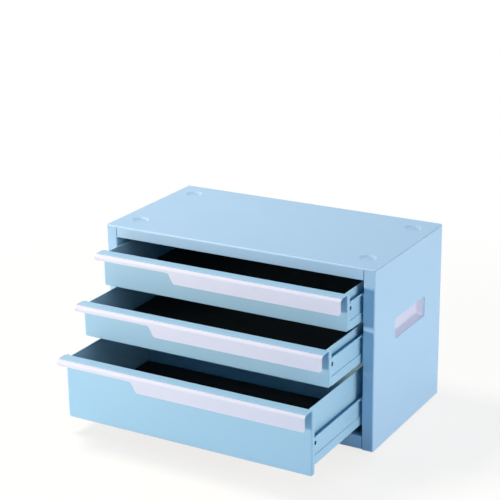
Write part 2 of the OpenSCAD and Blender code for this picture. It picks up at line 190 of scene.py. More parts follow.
def roundEdges(piece, radius, degrees=50):
    applyModifier(piece, "BEVEL", width=radius, segments=2, limit_method="ANGLE",
                  angle_limit=math.radians(degrees), use_clamp_overlap=True)


def cutAway(piece, cutter):
    applyModifier(piece, "BOOLEAN", object=cutter, operation="DIFFERENCE", solver="EXACT")
    bpy.data.objects.remove(cutter)


def joinPieces(main, others):
    deselect()
    for other in others:
        other.select_set(True)
    main.select_set(True)
    bpy.context.view_layer.objects.active = main
    bpy.ops.object.join()
    return main


def copyPiece(piece, name, x, z):
    # a copy with a mesh of its own, moved across and up
    twin = piece.copy()
    twin.data = piece.data.copy()
    scene.collection.objects.link(twin)
    deselect()
    twin.select_set(True)
    bpy.context.view_layer.objects.active = twin
    twin.location = (x, 0, z)
    return settle(twin, name)


def finishPiece(piece, body, nodes, material):
    # to metres, smoothed, painted, and hung on its body in place of the CAD nodes
    deselect()
    piece.select_set(True)
    bpy.context.view_layer.objects.active = piece
    piece.scale = (1 / metre, 1 / metre, 1 / metre)
    bpy.ops.object.transform_apply(location=True, rotation=True, scale=True)
    bpy.ops.object.shade_smooth_by_angle(angle=math.radians(smoothDegrees))
    # the broad flat faces keep their own normals beside the small rounded edges
    applyModifier(piece, "WEIGHTED_NORMAL", keep_sharp=True, weight=100)
    piece.data.materials.clear()
    piece.data.materials.append(material)
    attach(piece, body)
    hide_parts(*nodes)


# materials

def linearColour(code):
    # sRGB hex to linear, with full cover
    parts = [int(code[k:k + 2], 16) / 255 for k in (1, 3, 5)]
    return [c / 12.92 if c <= 0.04045 else ((c + 0.055) / 1.055) ** 2.4 for c in parts] + [1]


def perMetre(millimetres):
    # noise scale for a pattern of this size
    return metre / millimetres


def addNode(tree, kind, settings, links=None):
    # a setting goes to the socket of that name or number, or else to the node itself;
    # a colour mix takes its two colours at sockets 6 and 7 and gives the result at 2
    node = tree.nodes.new(kind)
    for key, value in settings.items():
        if isinstance(key, int) or key in node.inputs:
            node.inputs[key].default_value = value
        else:
            setattr(node, key, value)
    for key, source in (links or {}).items():
        tree.links.new(source, node.inputs[key])
    return node


def startMaterial(name):
    material = bpy.data.materials.new(name)
    material.use_nodes = True
    tree = material.node_tree
    shader = tree.nodes["Principled BSDF"]
    place = addNode(tree, "ShaderNodeTexCoord", {}).outputs["Object"]
    return material, tree, shader, place


def powderCoat(name, coat):
    # epoxy-polyester powder baked on steel: satin, with a fine orange peel from the powder's flow
    material, tree, shader, place = startMaterial(name)
    shader.inputs["Metallic"].default_value = 0
    shader.inputs["IOR"].default_value = coat["ior"]
    cloud = addNode(tree, "ShaderNodeTexNoise", {"Scale": perMetre(coat["cloud"]), "Detail": 2.0},
                    {"Vector": place})
    tone = addNode(tree, "ShaderNodeMix",
                   {"data_type": "RGBA", 6: linearColour(coat["colour"]), 7: linearColour(coat["deep"])},
                   {"Factor": cloud.outputs["Fac"]})
    # painted highlight: sharp bends and rims are lightened towards the edge colour, the more the bevelled
    # normal turns from the flat one
    bevel = addNode(tree, "ShaderNodeBevel", {"samples": 4, "Radius": coat["rim"] / metre})
    flat = addNode(tree, "ShaderNodeNewGeometry", {}).outputs["Normal"]
    turned = addNode(tree, "ShaderNodeVectorMath", {"operation": "DOT_PRODUCT"},
                     {0: bevel.outputs["Normal"], 1: flat})
    paintedHighlight = addNode(tree, "ShaderNodeMapRange",
                   {"From Min": coat["paintedHighlightFrom"], "From Max": coat["paintedHighlightFull"],
                    "To Min": 0.0, "To Max": coat["paintedHighlight"]},
                   {"Value": turned.outputs["Value"]})
    edge = addNode(tree, "ShaderNodeMix", {"data_type": "RGBA", 7: linearColour(coat["edge"])},
                   {"Factor": paintedHighlight.outputs["Result"], 6: tone.outputs[2]})
    tree.links.new(edge.outputs[2], shader.inputs["Base Color"])
    # gloss varies slightly where the film is thicker
    film = addNode(tree, "ShaderNodeTexNoise", {"Scale": perMetre(coat["film"]), "Detail": 3.0},
                   {"Vector": place})
    gloss = addNode(tree, "ShaderNodeMapRange", {"To Min": coat["smoothest"], "To Max": coat["roughest"]},
                    {"Value": film.outputs["Fac"]})
    tree.links.new(gloss.outputs["Result"], shader.inputs["Roughness"])
    peel = addNode(tree, "ShaderNodeTexNoise", {"Scale": perMetre(coat["peel"]), "Detail": 1.0},
                   {"Vector": place})
    waves = addNode(tree, "ShaderNodeBump",
                    {"Strength": coat["peelStrength"], "Distance": coat["peelDeep"] / metre},
                    {"Height": peel.outputs["Fac"]})
    tree.links.new(waves.outputs["Normal"], shader.inputs["Normal"])
    return material


def mouldedPlastic(name, plastic):
    # ABS or rubber from a spark-eroded mould: matt, with a fine even grain, drawn coarser so that it shows
    material, tree, shader, place = startMaterial(name)
    shader.inputs["Metallic"].default_value = 0
    shader.inputs["IOR"].default_value = plastic["ior"]
    cloud = addNode(tree, "ShaderNodeTexNoise", {"Scale": perMetre(plastic["cloud"]), "Detail": 2.0},
                    {"Vector": place})
    tone = addNode(tree, "ShaderNodeMix",
                   {"data_type": "RGBA",
                    6: linearColour(plastic["colour"]), 7: linearColour(plastic["deep"])},
                   {"Factor": cloud.outputs["Fac"]})
    tree.links.new(tone.outputs[2], shader.inputs["Base Color"])
    gloss = addNode(tree, "ShaderNodeMapRange",
                    {"To Min": plastic["smoothest"], "To Max": plastic["roughest"]},
                    {"Value": cloud.outputs["Fac"]})
    tree.links.new(gloss.outputs["Result"], shader.inputs["Roughness"])
    grain = addNode(tree, "ShaderNodeTexVoronoi", {"Scale": perMetre(plastic["grain"])}, {"Vector": place})
    pits = addNode(tree, "ShaderNodeBump",
                   {"Strength": plastic["grainStrength"], "Distance": plastic["grainDeep"] / metre},
                   {"Height": grain.outputs["Distance"]})
    tree.links.new(pits.outputs["Normal"], shader.inputs["Normal"])
    return material


def zincPlate(name, plating):
    # bright zinc on formed steel: clear passivation gives a faint cool bloom
    material, tree, shader, place = startMaterial(name)
    shader.inputs["Metallic"].default_value = 1
    bloom = addNode(tree, "ShaderNodeTexNoise", {"Scale": perMetre(plating["bloom"]), "Detail": 3.0},
                    {"Vector": place})
    tone = addNode(tree, "ShaderNodeMix",
                   {"data_type": "RGBA",
                    6: linearColour(plating["colour"]), 7: linearColour(plating["deep"])},
                   {"Factor": bloom.outputs["Fac"]})
    tree.links.new(tone.outputs[2], shader.inputs["Base Color"])
    gloss = addNode(tree, "ShaderNodeMapRange",
                    {"To Min": plating["smoothest"], "To Max": plating["roughest"]},
                    {"Value": bloom.outputs["Fac"]})
    tree.links.new(gloss.outputs["Result"], shader.inputs["Roughness"])
    scratch = addNode(tree, "ShaderNodeTexNoise", {"Scale": perMetre(plating["scratch"])}, {"Vector": place})
    marks = addNode(tree, "ShaderNodeBump",
                    {"Strength": plating["scratchStrength"], "Distance": plating["scratchDeep"] / metre},
                    {"Height": scratch.outputs["Fac"]})
    tree.links.new(marks.outputs["Normal"], shader.inputs["Normal"])
    return material


# pattern sizes and depths in millimetres; the edge colour is a painted highlight on the rims, and its limits
# are cosines of how far a rim turns
cabinetCoat = {"colour": "#b0cde2", "deep": "#aac9e0", "edge": "#c2daea", "ior": 1.5, "cloud": 60, "film": 25,
               "smoothest": 0.36, "roughest": 0.46, "peel": 2.2, "peelStrength": 0.25, "peelDeep": 0.06,
               "rim": 0.5, "paintedHighlight": 0.5, "paintedHighlightFrom": 0.99, "paintedHighlightFull": 0.8}
drawerCoat = {**cabinetCoat, "colour": "#a8cbde", "deep": "#a2c7dc"}
whiteCoat = {**cabinetCoat, "colour": "#e4dde6", "deep": "#dfd8e3", "edge": "#ebe7ee",
             "smoothest": 0.5, "roughest": 0.6}
pocketPlastic = {"colour": "#dcd8e6", "deep": "#d6d2e2", "ior": 1.53, "cloud": 30,
                 "smoothest": 0.5, "roughest": 0.6, "grain": 0.7, "grainStrength": 0.2, "grainDeep": 0.08}
footRubber = {**pocketPlastic, "colour": "#17181c", "deep": "#101115", "cloud": 8,
              "smoothest": 0.7, "roughest": 0.85, "grain": 0.6, "grainStrength": 0.35}
matRubber = {**pocketPlastic, "colour": "#101116", "deep": "#0b0c10", "cloud": 20,
             "smoothest": 0.75, "roughest": 0.9, "grain": 1.4, "grainStrength": 0.5}
zincSkin = {"colour": "#c3c8ce", "deep": "#a9b0ba", "bloom": 3, "smoothest": 0.22, "roughest": 0.38,
            "scratch": 0.5, "scratchStrength": 0.15, "scratchDeep": 0.03}

cabinetBlue = powderCoat("powderCoatPaleBlue", cabinetCoat)
drawerBlue = powderCoat("powderCoatPaleBlueDrawers", drawerCoat)
pullWhite = powderCoat("powderCoatWhite", whiteCoat)
pocketWhite = mouldedPlastic("mouldedAbsWhite", pocketPlastic)
blackRubber = mouldedPlastic("nitrileRubberBlack", footRubber)
blackMat = mouldedPlastic("drawerMatRubber", matRubber)
zincSteel = zincPlate("zincPlatedSteel", zincSkin)
print("materials made")


# drawers

frontSheet = {"sheet": 1, "fold": 2, "flange": 15, "returnDepth": 6, "rim": 0.3}


def faceOf(name):
    # where the blue face of a drawer stands, from front to back
    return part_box(name + "_drawer_front")[0].y * metre + frontSheet["flange"]


def makeFront(name):
    # face, blue flange folded forward at the top, and returns folded back at the bottom and sides
    s = frontSheet
    node = name + "_drawer_front"
    low, high = nodeBox(node)
    face, top, bottom = low.y + s["flange"], high.z, low.z
    fold, inner = s["fold"], s["fold"] - s["sheet"]
    flat = high.x - fold
    piece = addPlate("drawerFront." + name, (-flat, face, bottom + fold), (flat, face, top - fold), "Y")
    startEdit(piece)
    pick(piece, "EDGE", lambda c: near(c.z, top - fold))
    bend((0, face - inner, top - fold), (1, 0, 0), 90)
    pull(y=-(s["flange"] - inner))
    for sign in (-1, 1):
        pick(piece, "EDGE", lambda c: near(c.x, sign * flat) and near(c.z, top - s["sheet"])
             and c.y < face - inner + slack)
        pull(x=sign * fold)
    pick(piece, "EDGE", lambda c: near(c.z, bottom + fold))
    bend((0, face + fold, bottom + fold), (1, 0, 0), 90)
    pull(y=s["returnDepth"] - fold)
    for sign in (-1, 1):
        pick(piece, "EDGE", lambda c: near(c.x, sign * flat) and near(c.y, face)
             and within(c.z, bottom + fold, top - fold))
        bend((sign * flat, face + fold, 0), (0, 0, 1), sign * 90)
        pull(y=s["returnDepth"] - fold)
    faceOut(piece, (0, face, (top + bottom) / 2), (0, -1, 0))
    stopEdit()
    thicken(piece, s["sheet"])
    roundEdges(piece, s["rim"])
    finishPiece(piece, name + "_drawer", [node], drawerBlue)


pullSheet = {"sheet": 1.2, "fold": 4, "narrow": 8, "drop": 22, "stepFrom": -68, "stepLength": 11,
             "stepParts": 12, "corner": 4, "endCorner": 1.5, "reach": 17, "legIn": 4, "rim": 0.35,
             "wideSpot": (80, 5)}  # a place on the wide stretch: right of the middle, below the fold


def makePull(name):
    # folded white strip: narrow on the left, then an easy step down to the wide stretch for the fingers
    s = pullSheet
    node = name + "_drawer_pull"
    low, high = nodeBox(node)
    frontTop = high.z + frontSheet["sheet"]
    face, side, foldZ = low.y, high.x, high.z - s["fold"]
    piece = addPlate("drawerPull." + name, (-side, face, frontTop - s["narrow"]),
                     (s["stepFrom"], face, foldZ), "Y")
    startEdit(piece)
    x, drop = s["stepFrom"], s["narrow"]
    for k in range(s["stepParts"]):
        pick(piece, "EDGE", lambda c: near(c.x, x))
        pull(x=s["stepLength"] / s["stepParts"])
        x += s["stepLength"] / s["stepParts"]
        turn = math.pi * (k + 1) / s["stepParts"]
        nextDrop = s["narrow"] + (s["drop"] - s["narrow"]) * (1 - math.cos(turn)) / 2
        pick(piece, "VERT", lambda c: near(c.x, x) and near(c.z, frontTop - drop))
        bpy.ops.transform.translate(value=(0, 0, drop - nextDrop))
        drop = nextDrop
    pick(piece, "EDGE", lambda c: near(c.x, x))
    pull(x=side - x)
    pick(piece, "VERT", lambda c: near(c.x, side) and near(c.z, frontTop - s["drop"]))
    bpy.ops.mesh.bevel(offset=s["corner"], segments=8, affect="VERTICES")
    pick(piece, "VERT", lambda c: near(c.x, -side) and near(c.z, frontTop - s["narrow"]))
    bpy.ops.mesh.bevel(offset=s["endCorner"], segments=5, affect="VERTICES")
    pick(piece, "EDGE", lambda c: near(c.z, foldZ))
    bend((0, face + s["fold"], foldZ), (1, 0, 0), -90, steps=8)
    pull(y=s["reach"] - s["fold"])
    # the leg under the flange narrows, so the blue flange alone shows at the ends
    for sign in (-1, 1):
        pick(piece, "VERT", lambda c: near(c.x, sign * side) and near(c.y, face + s["reach"]))
        bpy.ops.transform.translate(value=(-sign * s["legIn"], 0, 0))
    faceOut(piece, (s["wideSpot"][0], face, foldZ - s["wideSpot"][1]), (0, -1, 0))
    stopEdit()
    thicken(piece, s["sheet"])
    roundEdges(piece, s["rim"])
    finishPiece(piece, name + "_drawer", [node], pullWhite)


runnerSheet = {"sheet": 1, "wall": 175, "bandSide": 181, "band": 12.5, "crease": 0.5, "webIn": 1.6,
               "legGap": 4, "fold": 1.4, "bead": 1.1, "beadRim": 0.35, "hole": 2.9, "holeDrop": 10.5,
               "holeSpots": (11.2, 152), "drill": 2, "tabHigh": 10, "tabThick": 1.2, "tabIn": 3,
               "tabRim": 0.25, "rim": 0.22}


def makeRunner(name, side):
    # rolled channel on the tray's wall: lower band, crease, upper web with access holes, and a bead on top
    s = runnerSheet
    sign = 1 if side == "right" else -1
    node = name + "_drawer_" + side + "_runner"
    low, high = nodeBox(node)
    start, end, bottom, top = low.y, high.y, low.z, high.z
    wall, band, bead = s["wall"], s["bandSide"], s["bead"]
    nearX, farX = sorted((sign * wall, sign * band))
    piece = addPlate("runner." + name + "." + side, (nearX, start, bottom), (farX, end, bottom), "Z")
    startEdit(piece)
    pick(piece, "EDGE", lambda c: near(c.x, sign * wall))
    pull(z=top - s["legGap"] - bottom)
    pick(piece, "EDGE", lambda c: near(c.x, sign * band) and near(c.z, bottom))
    pull(z=s["band"])
    pull(x=-sign * s["webIn"], z=s["crease"])
    # the web ends three bead radii below the top and leans out to meet the bead
    pull(z=top - 3 * bead - bottom - s["band"] - s["crease"])
    pull(x=sign * s["webIn"] / 2, z=bead)
    pull(z=bead)
    for x in (wall, band):
        pick(piece, "EDGE", lambda c: near(c.z, bottom) and near(c.x, sign * x))
        bpy.ops.mesh.bevel(offset=s["fold"], segments=4)
    faceOut(piece, (sign * band, (start + end) / 2, bottom + s["band"] / 2), (sign, 0, 0))
    stopEdit()
    thicken(piece, s["sheet"])
    holeZ = top - s["holeDrop"]
    for spot in s["holeSpots"]:
        y = faceOf(name) + spot
        # the drill starts clear of the leg on the tray's wall
        cutAway(piece, addRod("cutter", (sign * (wall + s["drill"]), y, holeZ),
                              (sign * (band + s["drill"]), y, holeZ), s["hole"]))
    roundEdges(piece, s["rim"])
    rolled = addRod("bead", (sign * band, start, top - bead), (sign * band, end, top - bead),
                    bead, smallRound)
    roundEdges(rolled, s["beadRim"])
    outer = high.x if sign > 0 else low.x
    middle, tabEnd, tabHalf = (top + bottom) / 2, end - s["tabIn"], s["tabHigh"] / 2
    tabFrom, tabTo = sorted((sign * (band - s["webIn"] - s["sheet"] / 2), outer))
    tab = addBlock("tab", (tabFrom, tabEnd - s["tabThick"], middle - tabHalf),
                   (tabTo, tabEnd, middle + tabHalf))
    roundEdges(tab, s["tabRim"])
    joinPieces(piece, [rolled, tab])
    finishPiece(piece, name + "_drawer", [node], drawerBlue)


traySheet = {"sheet": 1, "fold": 2, "weldHigh": 12, "rim": 0.25}


def makeTray(name):
    # open box folded from one sheet, with a low weld flange behind the front
    s = traySheet
    node = name + "_drawer_tray"
    low, high = nodeBox(node)
    piece = addBlock("drawerTray." + name, low, high)
    startEdit(piece)
    pick(piece, "FACE", lambda c: near(c.z, high.z))
    bpy.ops.mesh.delete(type="FACE")
    pick(piece, "FACE", lambda c: near(c.y, low.y))
    bpy.ops.mesh.delete(type="FACE")
    for sign in (-1, 1):
        pick(piece, "EDGE", lambda c: near(c.x, sign * high.x) and near(c.z, low.z))
        bpy.ops.mesh.bevel(offset=s["fold"], segments=5)
    pick(piece, "EDGE", lambda c: near(c.y, low.y) and near(c.z, low.z))
    pull(z=s["weldHigh"])
    faceOut(piece, (0, (low.y + high.y) / 2, low.z), (0, 0, -1))
    stopEdit()
    thicken(piece, s["sheet"])
    roundEdges(piece, s["rim"])
    finishPiece(piece, name + "_drawer", [node], drawerBlue)


matShape = {"corner": 3, "rim": 0.4}


def makeMat(name):
    # loose rubber sheet with rounded corners
    s = matShape
    node = name + "_drawer_mat"
    low, high = nodeBox(node)
    piece = addBlock("drawerMat." + name, low, high)
    startEdit(piece)
    pickAlong(piece, "z")
    bpy.ops.mesh.bevel(offset=s["corner"], segments=6)
    stopEdit()
    roundEdges(piece, s["rim"])
    finishPiece(piece, name + "_drawer", [node], blackMat)


rivetShape = {"head": 3, "headHigh": 1, "dome": 0.85, "tail": 2.5, "tailHigh": 0.7, "tailRim": 0.3,
              "shank": 1.6, "wall": 175, "sheet": 1, "drop": 10.5, "spots": (11.2, 152)}


def makeRivets(name):
    # blind rivets through wall and runner: domed head in the channel, set tail inside the tray
    s = rivetShape
    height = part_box(name + "_drawer_right_runner")[1].z * metre - s["drop"]
    inside, outside = s["wall"] - s["sheet"], s["wall"] + s["sheet"]
    headTop = outside + s["headHigh"]
    made = []
    for sign in (-1, 1):
        for spot in s["spots"]:
            middle = Vector((0, faceOf(name) + spot, height))
            out = Vector((sign, 0, 0))
            head = addRod("rivet", middle + out * outside, middle + out * headTop, s["head"], smallRound)
            startEdit(head)
            pick(head, "EDGE", lambda c: near(abs(c.x), headTop))
            bpy.ops.mesh.bevel(offset=s["headHigh"] * s["dome"], segments=4)
            stopEdit()
            shank = addRod("shank", middle + out * inside, middle + out * outside, s["shank"], smallRound)
            tail = addRod("tail", middle + out * (inside - s["tailHigh"]), middle + out * inside,
                          s["tail"], smallRound)
            roundEdges(tail, s["tailRim"])
            made += [head, shank, tail]
    piece = joinPieces(made[0], made[1:])
    piece.name = "rivets." + name
    finishPiece(piece, name + "_drawer", [name + "_drawer_rivets"], zincSteel)


for drawer in drawerNames:
    makeFront(drawer)
    makePull(drawer)
    makeRunner(drawer, "left")
    makeRunner(drawer, "right")
    makeTray(drawer)
    makeMat(drawer)
    makeRivets(drawer)
    print("drawer made:", drawer)


# cabinet

feetNodes = ["front_left_foot", "front_right_foot", "rear_left_foot", "rear_right_foot"]
seatSpots = [(sum(nodeBox(node), Vector()) / 2).xy for node in feetNodes]
railHeights = {name: sum(c.z for c in nodeBox(name + "_drawer_right_runner")) / 2 for name in drawerNames}
# the profiles give radius and depth down the soft shoulder of each kind of pressing
pressing = {
    "ring": 13, "sides": 48,
    "seat": ((12.1, 0), (11.75, 0.06), (11.35, 0.24), (10.85, 0.72), (10.5, 1.02), (10.1, 1.16), (9.6, 1.2)),
    "dish": ((12.2, 0), (11.8, 0.06), (11.4, 0.2), (10.9, 0.43), (9.9, 0.92), (8.9, 1.4), (8.1, 1.72),
             (7.3, 1.92), (6.2, 2)),
}


def pressSeats(piece, height, down, profile, hole=0):
    # round pressings above the feet and in the top: the flat sheet dips through a soft shoulder
    for spot in seatSpots:
        pick(piece, "EDGE", lambda c: near((c.xy - spot).length, pressing["ring"], openingSlack))
        radius, level = pressing["ring"], height
        rings = list(profile)
        if hole:
            rings.append((hole, rings[-1][1]))
        for nextRadius, depth in rings:
            pull()
            share = nextRadius / radius
            bpy.ops.transform.resize(value=(share, share, 1), center_override=(spot.x, spot.y, level))
            bpy.ops.transform.translate(value=(0, 0, height + down * depth - level))
            radius, level = nextRadius, height + down * depth
        if not hole:
            bpy.ops.mesh.edge_face_add()


def startSheetWithSeats(name, low, high, splits=()):
    # a flat outline with a round loop at each seat, filled between them
    piece = addPlate(name, low, high, "Z")
    startEdit(piece)
    bpy.ops.mesh.select_all(action="SELECT")
    bpy.ops.mesh.delete(type="ONLY_FACE")
    for x in splits:
        bpy.ops.mesh.select_all(action="SELECT")
        bpy.ops.mesh.bisect(plane_co=(x, 0, 0), plane_no=(1, 0, 0))
    stopEdit()
    loops = []
    for spot in seatSpots:
        deselect()
        bpy.ops.mesh.primitive_circle_add(vertices=pressing["sides"], radius=pressing["ring"],
                                          fill_type="NOTHING", location=(spot.x, spot.y, low[2]))
        loops.append(settle(bpy.context.object, "loop"))
    joinPieces(piece, loops)
    startEdit(piece)
    bpy.ops.mesh.select_mode(type="EDGE")
    bpy.ops.mesh.select_all(action="SELECT")
    bpy.ops.mesh.fill(use_beauty=True)
    return piece


def trimCorner(centre, radius, signX, signY):
    # cuts a square corner back to its round plan by three slanting cuts
    for degrees in (22.5, 45, 67.5):
        turn = math.radians(degrees)
        out = Vector((signX * math.cos(turn), signY * math.sin(turn), 0))
        bpy.ops.mesh.select_all(action="SELECT")
        bpy.ops.mesh.bisect(plane_co=Vector(centre) + radius * out, plane_no=out,
                            clear_outer=True, use_fill=False)


topSheet = {"sheet": 1, "fold": 2, "lipReturn": 10, "lipSide": 183.8, "lipBend": 1.4,
            "weldSide": 186.8, "weldHigh": 12, "weldBack": 3, "rim": 0.25}


def makeTop():
    # flat sheet with four dishes, a lip folded down in front and back under itself, and a weld flange behind
    s = topSheet
    low, high = nodeBox("top_panel")
    fold, sheet = s["fold"], s["sheet"]
    front = low.y + fold
    piece = startSheetWithSeats("topPanel", (low.x, front, high.z), (high.x, high.y, high.z))
    pressSeats(piece, high.z, -1, pressing["dish"])
    pick(piece, "EDGE", lambda c: near(c.y, front))
    bend((0, front, high.z - fold), (1, 0, 0), 90)
    for x in (-s["lipSide"], s["lipSide"]):
        pick(piece, "FACE", lambda c: c.y < front + slack)
        bpy.ops.mesh.bisect(plane_co=(x, 0, 0), plane_no=(1, 0, 0))
    pick(piece, "EDGE", lambda c: within(c.x, -s["lipSide"], s["lipSide"]) and near(c.y, low.y)
         and near(c.z, high.z - fold))
    pull(z=low.z - high.z + fold)
    pull(y=s["lipReturn"])
    pick(piece, "EDGE", lambda c: near(c.y, low.y) and near(c.z, low.z))
    bpy.ops.mesh.bevel(offset=s["lipBend"], segments=4)
    for signX in (-1, 1):
        for signY, middle in ((-1, front), (1, high.y - fold)):
            trimCorner((signX * (high.x - fold), middle, 0), fold, signX, signY)
    faceOut(piece, (0, 0, high.z), (0, 0, 1))
    stopEdit()
    thicken(piece, sheet)
    roundEdges(piece, s["rim"])
    back = high.y - s["weldBack"]
    weld = addBlock("weld", (-s["weldSide"], back - sheet, high.z - sheet - s["weldHigh"]),
                    (s["weldSide"], back, high.z - sheet / 2))
    roundEdges(weld, s["rim"])
    joinPieces(piece, [weld])
    finishPiece(piece, "cabinet", ["top_panel"], cabinetBlue)


sideSheet = {"sheet": 1, "fold": 2, "stile": 16, "stileReturn": 25, "topFold": 0.5, "joggle": 1.4,
             "topRoom": 1.2, "hem": 1.05, "hemLap": 2.5, "flange": 12, "flangeFront": 27, "flangeBack": 6,
             "backIn": 3, "rim": 0.25, "openingRim": 5, "openingCorner": 4, "openingRolled": 0.8,
             "cutIn": 3, "cutOut": 2}


def makeSide(side):
    # one sheet: stile return, stile, rounded corner, wall and a closed hem at the back
    s = sideSheet
    sign = 1 if side == "right" else -1
    node = side + "_side_panel"
    low, high = nodeBox(node)
    outer = high.x if sign > 0 else -low.x
    sheet, fold, hem, topFold = s["sheet"], s["fold"], s["hem"], s["topFold"]
    front, back, wallTop = low.y, high.y, high.z - s["topRoom"]
    flangeFront, flangeBack = front + s["flangeFront"], back - s["flangeBack"]
    piece = addPlate("sidePanel." + side, (sign * outer, front + fold, low.z),
                     (sign * outer, back - hem, wallTop), "X")
    startEdit(piece)
    pick(piece, "EDGE", lambda c: near(c.y, front + fold))
    bend((sign * (outer - fold), front + fold, 0), (0, 0, 1), -90 * sign)
    pull(x=-sign * (s["stile"] - 2 * fold))
    bend((sign * (outer - s["stile"] + fold), front + fold, 0), (0, 0, 1), -90 * sign)
    pull(y=s["stileReturn"] - fold)
    pick(piece, "EDGE", lambda c: near(c.x, sign * outer) and near(c.y, back - hem))
    bend((sign * (outer - hem), back - hem, 0), (0, 0, 1), 180 * sign, steps=8)
    pull(y=-s["hemLap"])
    # the upper edge turns in below the top sheet and steps up to it, which leaves a narrow groove
    pick(piece, "EDGE", lambda c: near(c.x, sign * outer) and near(c.z, wallTop))
    bend((sign * (outer - topFold), 0, wallTop), (0, 1, 0), -90 * sign, steps=3)
    pull(x=-sign * s["joggle"])
    pull(z=s["topRoom"] - topFold)
    for y in (flangeFront, flangeBack):
        pick(piece, "FACE", lambda c: c.z > wallTop - slack)
        bpy.ops.mesh.bisect(plane_co=(0, y, 0), plane_no=(0, 1, 0))
    pick(piece, "EDGE", lambda c: near(c.z, high.z) and within(c.y, flangeFront, flangeBack))
    pull(x=-sign * (sheet + s["flange"] - topFold - s["joggle"]))
    faceOut(piece, (sign * outer, 0, (low.z + high.z) / 2), (sign, 0, 0))
    stopEdit()
    thicken(piece, sheet)
    # the pocket's opening, with its edge rolled inwards
    rim = Vector((0, s["openingRim"], s["openingRim"]))
    cupLow, cupHigh = nodeBox(side + "_handle_cup")
    opening = cupLow + rim, cupHigh - rim
    cutFrom, cutTo = sorted((sign * (outer - s["cutIn"]), sign * (outer + s["cutOut"])))
    cutter = addBlock("cutter", (cutFrom, opening[0].y, opening[0].z), (cutTo, opening[1].y, opening[1].z))
    startEdit(cutter)
    pickAlong(cutter, "x")
    bpy.ops.mesh.bevel(offset=s["openingCorner"], segments=6)
    stopEdit()
    cutAway(piece, cutter)
    startEdit(piece)
    pick(piece, "EDGE", lambda c: near(c.x, sign * outer)
         and within(c.y, opening[0].y, opening[1].y, openingSlack)
         and within(c.z, opening[0].z, opening[1].z, openingSlack))
    bpy.ops.mesh.bevel(offset=s["openingRolled"], segments=4)
    stopEdit()
    roundEdges(piece, s["rim"])
    flangeFrom, flangeTo = sorted((sign * (outer - sheet - s["flange"]), sign * (outer - sheet / 2)))
    rearY = back - s["backIn"]
    lower = addBlock("lowerFlange", (flangeFrom, flangeFront, low.z + sheet),
                     (flangeTo, flangeBack, low.z + 2 * sheet))
    rear = addBlock("rearFlange", (flangeFrom, rearY - sheet, low.z), (flangeTo, rearY, wallTop))
    roundEdges(lower, s["rim"])
    roundEdges(rear, s["rim"])
    joinPieces(piece, [lower, rear])
    finishPiece(piece, "cabinet", [node], cabinetBlue)


bottomSheet = {"sheet": 1, "fold": 2, "lipSide": 183.8, "lipReturn": 10, "lipBend": 1.4, "wideFront": 25.2,
               "wideBack": 1.2, "rearSide": 186.8, "weldHigh": 13, "stemHole": 2.85, "rim": 0.25}


def makeBottom():
    # floor sheet with four pressed seats, the lower lip in front and a weld flange behind
    s = bottomSheet
    low, high = nodeBox("bottom_panel")
    fold, lipSide, rearSide = s["fold"], s["lipSide"], s["rearSide"]
    wideFront, wideBack = low.y + s["wideFront"], high.y - s["wideBack"]
    piece = startSheetWithSeats("bottomPanel", (low.x, wideFront, low.z), (high.x, wideBack, low.z),
                                (-rearSide, -lipSide, lipSide, rearSide))
    pressSeats(piece, low.z, 1, pressing["seat"], s["stemHole"])
    pick(piece, "EDGE", lambda c: near(c.y, wideFront) and within(c.x, -lipSide, lipSide))
    pull(y=low.y + fold - wideFront)
    bend((0, low.y + fold, low.z + fold), (1, 0, 0), -90)
    pull(z=high.z - low.z - fold)
    pull(y=s["lipReturn"])
    pick(piece, "EDGE", lambda c: near(c.y, low.y) and near(c.z, high.z))
    bpy.ops.mesh.bevel(offset=s["lipBend"], segments=4)
    pick(piece, "EDGE", lambda c: near(c.y, wideBack) and near(c.z, low.z)
         and within(c.x, -rearSide, rearSide))
    bend((0, wideBack, low.z + s["wideBack"]), (1, 0, 0), 90, steps=4)
    pull(z=s["weldHigh"] - s["wideBack"])
    faceOut(piece, (0, 0, low.z), (0, 0, -1))
    stopEdit()
    thicken(piece, s["sheet"])
    roundEdges(piece, s["rim"])
    finishPiece(piece, "cabinet", ["bottom_panel"], cabinetBlue)


screwShape = {"head": 3.6, "headHigh": 1.6, "round": 0.9, "shank": 1.95, "length": 6, "tip": 0.8,
              "slot": (3.6, 0.9), "slotDeep": 0.8, "slotPast": 1, "railX": 191.5, "edgeX": 100, "edgeIn": 7}


def screwSpots():
    # one screw behind each rail, and two each in the upper and lower weld flanges
    s = screwShape
    lower = nodeBox("bottom_panel")[0].z + s["edgeIn"]
    upper = nodeBox("top_panel")[1].z - s["edgeIn"]
    spots = [(sign * s["railX"], railHeights[name]) for name in drawerNames for sign in (-1, 1)]
    return spots + [(sign * s["edgeX"], z) for sign in (-1, 1) for z in (lower, upper)]


backSheet = {"sheet": 1, "corner": 3, "hole": 2.1, "drill": 1, "rim": 0.25}


def makeBack():
    # flat sheet screwed on from behind, with rounded corners and clearance holes
    s = backSheet
    low, high = nodeBox("back_panel")
    piece = addPlate("backPanel", (low.x, high.y, low.z), (high.x, high.y, high.z), "Y")
    startEdit(piece)
    pick(piece, "VERT", lambda c: True)
    bpy.ops.mesh.bevel(offset=s["corner"], segments=6, affect="VERTICES")
    faceOut(piece, (0, high.y, (low.z + high.z) / 2), (0, 1, 0))
    stopEdit()
    thicken(piece, s["sheet"])
    for x, z in screwSpots():
        cutAway(piece, addRod("cutter", (x, low.y - s["drill"], z), (x, high.y + s["drill"], z),
                              s["hole"], smallRound))
    roundEdges(piece, s["rim"])
    finishPiece(piece, "cabinet", ["back_panel"], cabinetBlue)


